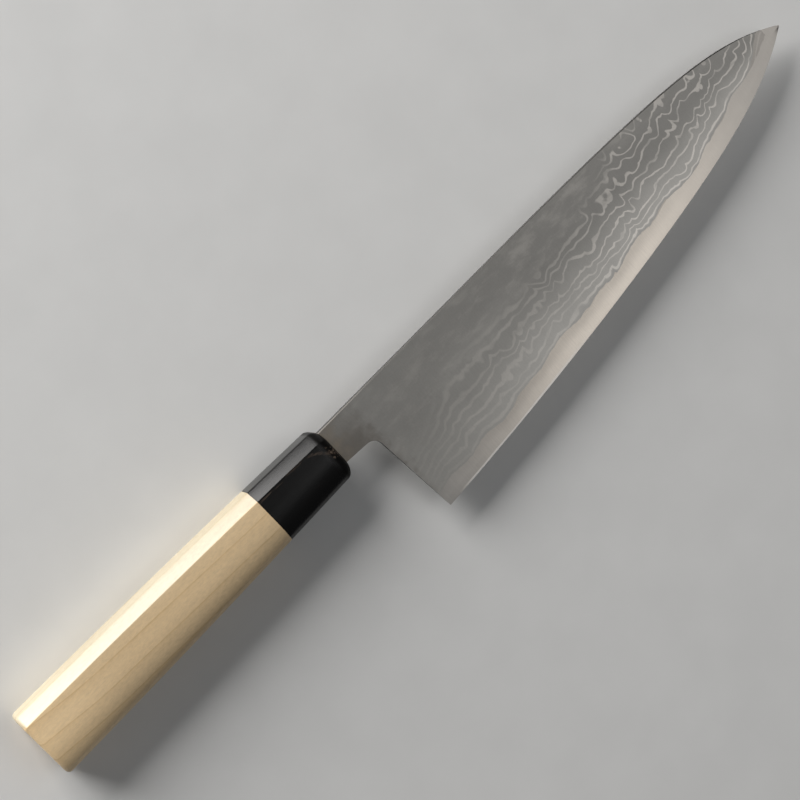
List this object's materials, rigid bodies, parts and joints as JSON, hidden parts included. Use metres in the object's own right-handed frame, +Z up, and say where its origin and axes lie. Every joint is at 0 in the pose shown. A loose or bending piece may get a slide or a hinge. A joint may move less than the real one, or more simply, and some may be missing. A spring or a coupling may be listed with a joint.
{
  "type": "gyuto knife",
  "caption": "Kitchen knife with a layered, clad steel blade, a hidden tang and a faceted wooden handle with a dark horn ferrule.",
  "frame": {"origin": "on the surface that the knife lies on, below the middle of its outline", "axes": "+X from the butt to the tip, +Y from the cutting edge to the spine, +Z up, out of the blade's right face"},
  "size_m": [0.323, 0.0508, 0.0176],
  "materials": {
    "core_steel": "satin, ground towards the edge",
    "cladding": "satin, etched to show its layers",
    "wood": "bare, finely sanded",
    "horn": "polished",
    "resin": "clear, set hard"
  },
  "bodies": {
    "root": {"core_steel": "core_steel", "cladding_right": "cladding", "cladding_left": "cladding", "handle_body": "wood", "horn_ferrule": "horn", "tang_bedding": "resin", "mouth_seal": "resin"}
  },
  "joints": []
}
